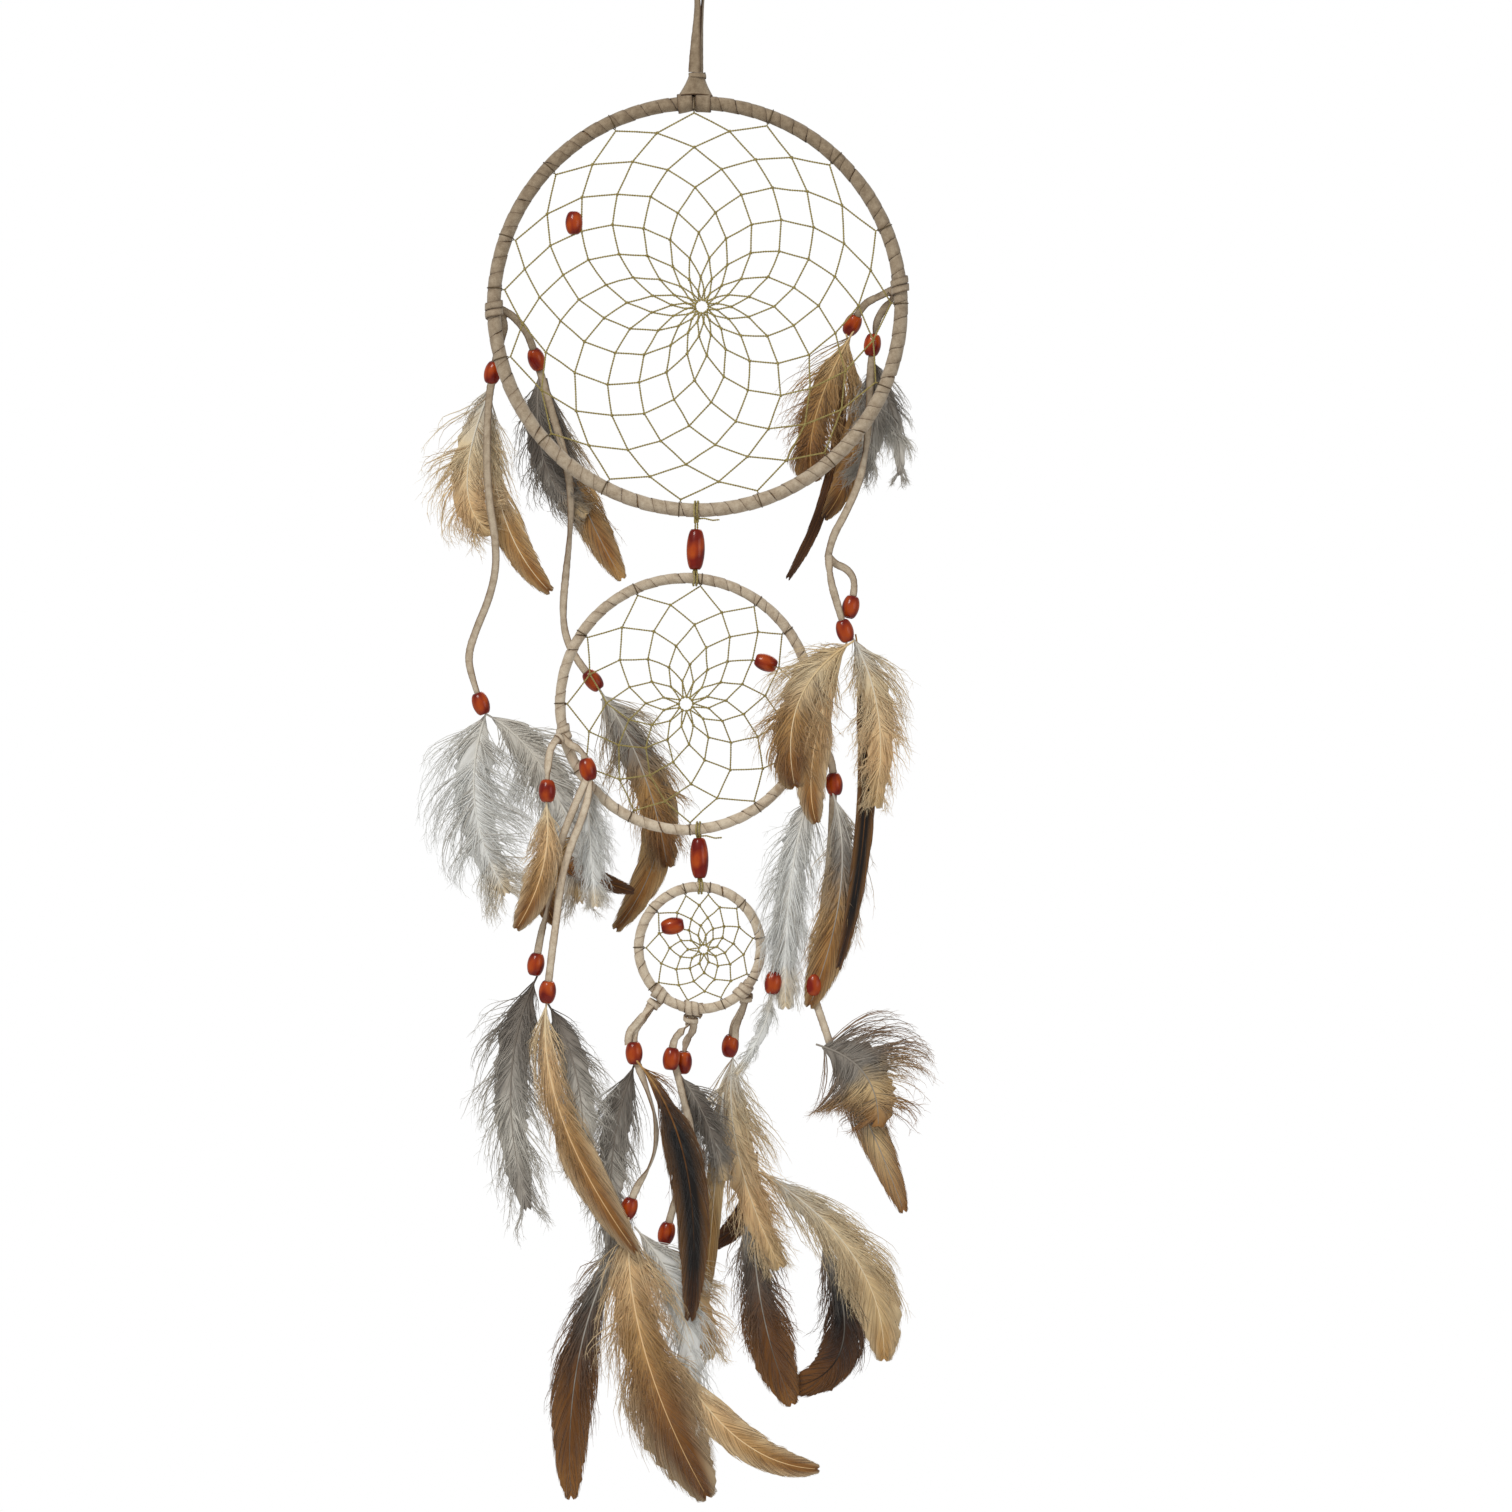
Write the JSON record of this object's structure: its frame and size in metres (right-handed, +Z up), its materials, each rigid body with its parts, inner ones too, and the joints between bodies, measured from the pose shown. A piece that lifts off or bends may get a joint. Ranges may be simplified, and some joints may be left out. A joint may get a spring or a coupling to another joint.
{
  "type": "dream catcher",
  "caption": "Wall-hung dream catcher: a chain of suede-wrapped hoops with thread webs and beads, hung with beaded laces and feathers.",
  "frame": {"origin": "inside top of the hanging loop, where it rests on its hook", "axes": "+X to the right seen from the front, +Y into the wall, +Z up"},
  "size_m": [0.2531, 0.0508, 0.824],
  "materials": {
    "suede": "napped suede",
    "thread": "waxed cord, satin",
    "bead_wood": "clear gloss varnish",
    "hoop_core": "bare cane, matt",
    "feather": "soft, matt"
  },
  "bodies": {
    "root": {"hanging_loop": "suede"},
    "top_knot": {"top_knot": "suede"},
    "large_hoop": {"large_hoop_ring": "hoop_core", "large_suede_wrap": "suede", "large_web": "thread", "large_web_bead": "bead_wood", "large_lashings": "suede"},
    "medium_hoop": {"medium_hoop_ring": "hoop_core", "medium_suede_wrap": "suede", "medium_web": "thread", "medium_web_bead": "bead_wood", "medium_lashings": "suede"},
    "small_hoop": {"small_hoop_ring": "hoop_core", "small_suede_wrap": "suede", "small_web": "thread", "small_web_bead": "bead_wood", "small_lashings": "suede"},
    "upper_link": {"upper_link_thread": "thread", "upper_link_bead": "bead_wood"},
    "lower_link": {"lower_link_thread": "thread", "lower_link_bead": "bead_wood"},
    "left_outer_upper": {"left_outer_upper_lace": "suede", "left_outer_upper_bead": "bead_wood", "left_outer_upper_feathers": "feather"},
    "left_outer_lower": {"left_outer_lower_lace": "suede", "left_outer_lower_bead": "bead_wood", "left_outer_lower_feathers": "feather"},
    "left_inner_upper": {"left_inner_upper_lace": "suede", "left_inner_upper_bead": "bead_wood", "left_inner_upper_feathers": "feather"},
    "left_inner_lower": {"left_inner_lower_lace": "suede", "left_inner_lower_bead": "bead_wood", "left_inner_lower_feathers": "feather"},
    "right_inner": {"right_inner_lace": "suede", "right_inner_bead": "bead_wood", "right_inner_feathers": "feather"},
    "right_outer_upper": {"right_outer_upper_lace": "suede", "right_outer_upper_bead": "bead_wood", "right_outer_upper_feathers": "feather"},
    "right_outer_lower": {"right_outer_lower_lace": "suede", "right_outer_lower_beads": "bead_wood", "right_outer_lower_feathers": "feather"},
    "middle_left_front": {"middle_left_front_lace": "suede", "middle_left_front_bead": "bead_wood", "middle_left_front_feathers": "feather"},
    "middle_left_back": {"middle_left_back_lace": "suede", "middle_left_back_beads": "bead_wood", "middle_left_back_feathers": "feather"},
    "middle_right": {"middle_right_lace": "suede", "middle_right_beads": "bead_wood", "middle_right_feathers": "feather"},
    "bottom_left": {"bottom_left_lace": "suede", "bottom_left_beads": "bead_wood", "bottom_left_feathers": "feather"},
    "bottom_middle": {"bottom_middle_lace": "suede", "bottom_middle_beads": "bead_wood", "bottom_middle_feathers": "feather"},
    "bottom_right": {"bottom_right_lace": "suede", "bottom_right_bead": "bead_wood", "bottom_right_feathers": "feather"}
  },
  "joints": [
    {"name": "hanger_twist", "type": "hinge", "parent": "root", "child": "top_knot", "pos_m": [0, 0, -0.078], "axis": [0, 0, 1], "range_deg": [-90, 90]},
    {"name": "large_hoop_swing", "type": "hinge", "parent": "top_knot", "child": "large_hoop", "pos_m": [0, 0, -0.09365], "axis": [1, 0, 0], "range_deg": [-30, 30]},
    {"name": "upper_link_swing", "type": "hinge", "parent": "large_hoop", "child": "upper_link", "pos_m": [-0.0004, 0, -0.30635], "axis": [0, -1, 0], "range_deg": [-10, 10]},
    {"name": "medium_hoop_swing", "type": "hinge", "parent": "upper_link", "child": "medium_hoop", "pos_m": [-0.0013, 0, -0.342], "axis": [0, -1, 0], "range_deg": [-10, 10]},
    {"name": "lower_link_swing", "type": "hinge", "parent": "medium_hoop", "child": "lower_link", "pos_m": [0.0006, 0, -0.473], "axis": [0, -1, 0], "range_deg": [-10, 10]},
    {"name": "small_hoop_swing", "type": "hinge", "parent": "lower_link", "child": "small_hoop", "pos_m": [0.0014, 0, -0.5031], "axis": [0, -1, 0], "range_deg": [-10, 10]},
    {"name": "left_outer_upper_swing", "type": "hinge", "parent": "large_hoop", "child": "left_outer_upper", "pos_m": [-0.1005, 0.0048, -0.208], "axis": [0, -1, 0], "range_deg": [-15, 15]},
    {"name": "left_outer_lower_swing", "type": "hinge", "parent": "left_outer_upper", "child": "left_outer_lower", "pos_m": [-0.109, 0.009, -0.241], "axis": [0, -1, 0], "range_deg": [-15, 15]},
    {"name": "left_inner_upper_swing", "type": "hinge", "parent": "large_hoop", "child": "left_inner_upper", "pos_m": [-0.099, 0.0054, -0.2025], "axis": [0, -1, 0], "range_deg": [-15, 15]},
    {"name": "left_inner_lower_swing", "type": "hinge", "parent": "left_inner_upper", "child": "left_inner_lower", "pos_m": [-0.0818, 0.0183, -0.2355], "axis": [0, -1, 0], "range_deg": [-15, 15]},
    {"name": "right_inner_swing", "type": "hinge", "parent": "large_hoop", "child": "right_inner", "pos_m": [0.0995, 0.006, -0.192], "axis": [0, -1, 0], "range_deg": [-15, 15]},
    {"name": "right_outer_upper_swing", "type": "hinge", "parent": "large_hoop", "child": "right_outer_upper", "pos_m": [0.1026, 0.0056, -0.195], "axis": [0, -1, 0], "range_deg": [-5, 15]},
    {"name": "right_outer_lower_swing", "type": "hinge", "parent": "right_outer_upper", "child": "right_outer_lower", "pos_m": [0.0685, -0.0195, -0.334], "axis": [0, -1, 0], "range_deg": [-15, 15]},
    {"name": "middle_left_front_swing", "type": "hinge", "parent": "medium_hoop", "child": "middle_left_front", "pos_m": [-0.0756, -0.0136, -0.4288], "axis": [0, -1, 0], "range_deg": [-15, 15]},
    {"name": "middle_left_back_swing", "type": "hinge", "parent": "medium_hoop", "child": "middle_left_back", "pos_m": [-0.0674, -0.0068, -0.4286], "axis": [0, -1, 0], "range_deg": [-15, 15]},
    {"name": "middle_right_swing", "type": "hinge", "parent": "medium_hoop", "child": "middle_right", "pos_m": [0.0589, -0.0083, -0.429], "axis": [0, -1, 0], "range_deg": [-15, 15]},
    {"name": "bottom_left_swing", "type": "hinge", "parent": "small_hoop", "child": "bottom_left", "pos_m": [-0.0264, -0.0015, -0.5704], "axis": [0, -1, 0], "range_deg": [-15, 15]},
    {"name": "bottom_middle_swing", "type": "hinge", "parent": "small_hoop", "child": "bottom_middle", "pos_m": [-0.0035, 0.0052, -0.5766], "axis": [0, -1, 0], "range_deg": [-15, 15]},
    {"name": "bottom_right_swing", "type": "hinge", "parent": "small_hoop", "child": "bottom_right", "pos_m": [0.0238, 0.0076, -0.5668], "axis": [0, -1, 0], "range_deg": [-15, 15]}
  ]
}
